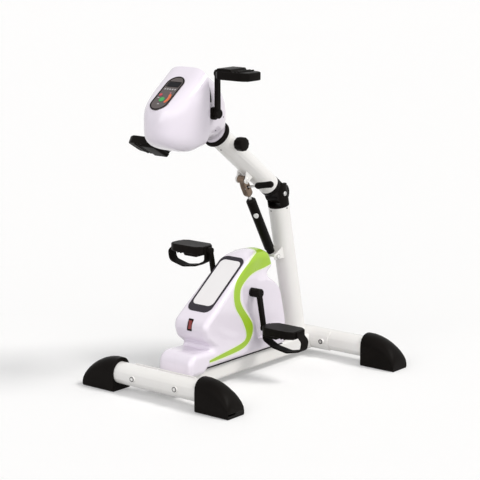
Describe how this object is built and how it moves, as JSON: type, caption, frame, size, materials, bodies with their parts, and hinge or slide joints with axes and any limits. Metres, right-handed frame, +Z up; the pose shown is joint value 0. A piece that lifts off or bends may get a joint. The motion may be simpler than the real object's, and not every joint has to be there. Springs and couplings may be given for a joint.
{
  "type": "electric pedal exerciser",
  "caption": "Floor-standing motorised pedal exerciser with foot pedals in a moulded drive housing and a tilting arm that carries a console head with hand cranks.",
  "frame": {"origin": "on the floor, on the centre plane, midway between the front and the rear stabiliser", "axes": "-Y towards the seated user, +X to the user's right, +Z up"},
  "size_m": [0.64, 0.6726, 0.8392],
  "materials": {
    "white_paint": "gloss white powder coat",
    "lilac_gloss": "gloss white moulding with a faint lilac tint",
    "black_plastic": "satin black moulding",
    "black_metal": "satin black paint",
    "black_rubber": "matt",
    "dark_grey": "satin dark grey",
    "console_grey": "satin grey",
    "insert_white": "gloss white",
    "steel": "zinc-plated or ground steel",
    "bronze_steel": "dark bronze passivated steel",
    "switch_red": "gloss red, translucent look",
    "key_green": "satin",
    "key_red": "satin",
    "key_orange": "satin",
    "display_black": "gloss dark display window",
    "board_green": "solder mask",
    "belt_black": "matt"
  },
  "bodies": {
    "frame": {"front_stabiliser": "white_paint", "rear_stabiliser": "white_paint", "base_beam": "white_paint", "front_saddle": "white_paint", "rear_saddle": "white_paint", "front_left_foot": "black_plastic", "front_right_foot": "black_plastic", "rear_left_foot": "black_plastic", "rear_right_foot": "black_plastic", "mast_tube": "white_paint", "mast_strut_bracket": "white_paint", "mast_hinge_fork": "black_plastic", "arm_pivot_bolt": "steel", "drive_cover_left": "lilac_gloss", "drive_cover_right": "lilac_gloss", "cover_panel_frame": "dark_grey", "cover_panel_insert": "insert_white", "switch_bezel": "black_plastic", "drive_motor": "steel", "drive_bearing_tube": "steel", "drive_belt": "belt_black"},
    "pedal_crank": {"pedal_crank_shaft": "steel", "drive_pulley": "dark_grey", "left_crank": "black_plastic", "right_crank": "black_plastic"},
    "motor_pulley": {"motor_pulley": "dark_grey"},
    "power_rocker": {"power_rocker": "switch_red"},
    "right_pedal": {"right_pedal": "black_plastic", "right_strap": "black_rubber"},
    "left_pedal": {"left_pedal": "black_plastic", "left_strap": "black_rubber"},
    "arm": {"arm_tube": "white_paint", "arm_hinge_tongue": "black_plastic", "arm_strut_bracket": "white_paint", "collar_ring": "black_plastic"},
    "lock_knob": {"lock_knob": "black_plastic"},
    "strut_lower": {"strut_cylinder": "black_metal"},
    "strut_upper": {"strut_rod": "steel", "release_head": "bronze_steel"},
    "release_lever": {"release_lever": "steel", "lever_grip": "black_rubber"},
    "head": {"head_neck": "steel", "head_front_shell": "lilac_gloss", "head_rear_shell": "lilac_gloss", "control_panel": "console_grey", "display_window": "display_black", "control_board": "board_green", "head_motor": "steel", "head_bearing_tube": "steel", "head_belt": "belt_black"},
    "start_key": {"start_key": "key_green"},
    "stop_key": {"stop_key": "key_red"},
    "speed_key": {"speed_key": "key_orange"},
    "head_crank": {"head_crank_shaft": "steel", "head_drive_pulley": "dark_grey", "head_left_crank": "black_plastic", "head_right_crank": "black_plastic"},
    "head_motor_pulley": {"head_motor_pulley": "dark_grey"},
    "right_handle": {"right_handle": "black_plastic"},
    "left_handle": {"left_handle": "black_plastic"}
  },
  "joints": [
    {"name": "pedal_crank_spin", "type": "hinge", "parent": "frame", "child": "pedal_crank", "pos_m": [0, 0.003, 0.2302], "axis": [1, 0, 0], "continuous": true},
    {"name": "motor_pulley_spin", "type": "hinge", "parent": "frame", "child": "motor_pulley", "pos_m": [0, -0.085, 0.125], "axis": [1, 0, 0], "continuous": true},
    {"name": "right_pedal_spin", "type": "hinge", "parent": "pedal_crank", "child": "right_pedal", "pos_m": [0.138, 0.02373, 0.13268], "axis": [1, 0, 0], "continuous": true},
    {"name": "left_pedal_spin", "type": "hinge", "parent": "pedal_crank", "child": "left_pedal", "pos_m": [-0.138, -0.01773, 0.32772], "axis": [1, 0, 0], "continuous": true},
    {"name": "power_rocker_tilt", "type": "hinge", "parent": "frame", "child": "power_rocker", "pos_m": [0, -0.1864, 0.1715], "axis": [-1, 0, 0], "range_deg": [0, 12]},
    {"name": "arm_tilt", "type": "hinge", "parent": "frame", "child": "arm", "pos_m": [0, 0.17361, 0.46592], "axis": [-1, 0, 0], "range_deg": [-5, 25]},
    {"name": "strut_swing", "type": "hinge", "parent": "frame", "child": "strut_lower", "pos_m": [0, 0.15403, 0.29593], "axis": [-1, 0, 0], "range_deg": [-2.5, 12]},
    {"name": "strut_slide", "type": "slide", "parent": "strut_lower", "child": "strut_upper", "axis": [0, -0.4929, 0.8701], "range_m": [-0.0085, 0.0395]},
    {"name": "release_lever_squeeze", "type": "hinge", "parent": "strut_upper", "child": "release_lever", "pos_m": [0.0065, 0.03796, 0.50084], "axis": [0, -0.8701, -0.4929], "range_deg": [0, 8], "stiffness_Nm_per_rad": 0.2, "springref_deg": -14.32},
    {"name": "lock_knob_turn", "type": "hinge", "parent": "arm", "child": "lock_knob", "pos_m": [0.054, -0.04624, 0.6286], "axis": [1, 0, 0], "range_deg": [0, 360]},
    {"name": "head_turn", "type": "hinge", "parent": "arm", "child": "head", "pos_m": [0, 0.17361, 0.46592], "axis": [0, -0.8039, 0.5948], "range_deg": [-180, 180]},
    {"name": "head_crank_spin", "type": "hinge", "parent": "head", "child": "head_crank", "pos_m": [0, -0.17269, 0.72217], "axis": [1, 0, 0], "continuous": true},
    {"name": "head_motor_pulley_spin", "type": "hinge", "parent": "head", "child": "head_motor_pulley", "pos_m": [0, -0.245, 0.69], "axis": [1, 0, 0], "continuous": true},
    {"name": "right_handle_spin", "type": "hinge", "parent": "head_crank", "child": "right_handle", "pos_m": [0.1445, -0.17269, 0.82317], "axis": [1, 0, 0], "continuous": true},
    {"name": "left_handle_spin", "type": "hinge", "parent": "head_crank", "child": "left_handle", "pos_m": [-0.1445, -0.17269, 0.62117], "axis": [1, 0, 0], "continuous": true},
    {"name": "start_key_press", "type": "slide", "parent": "head", "child": "start_key", "axis": [0, 0.5878, -0.809], "range_m": [0, 0.0006], "stiffness_N_per_m": 400, "springref_m": -0.0005},
    {"name": "stop_key_press", "type": "slide", "parent": "head", "child": "stop_key", "axis": [0, 0.5878, -0.809], "range_m": [0, 0.0006], "stiffness_N_per_m": 400, "springref_m": -0.0005},
    {"name": "speed_key_press", "type": "slide", "parent": "head", "child": "speed_key", "axis": [0, 0.5878, -0.809], "range_m": [0, 0.0006], "stiffness_N_per_m": 400, "springref_m": -0.0005}
  ],
  "couplings": [
    {"joint": "motor_pulley_spin", "follows": "pedal_crank_spin", "ratio": 5},
    {"joint": "head_motor_pulley_spin", "follows": "head_crank_spin", "ratio": 4},
    {"joint": "strut_swing", "follows": "arm_tilt", "ratio": 0.471},
    {"joint": "strut_slide", "follows": "arm_tilt", "m_per_rad": 0.08883}
  ]
}
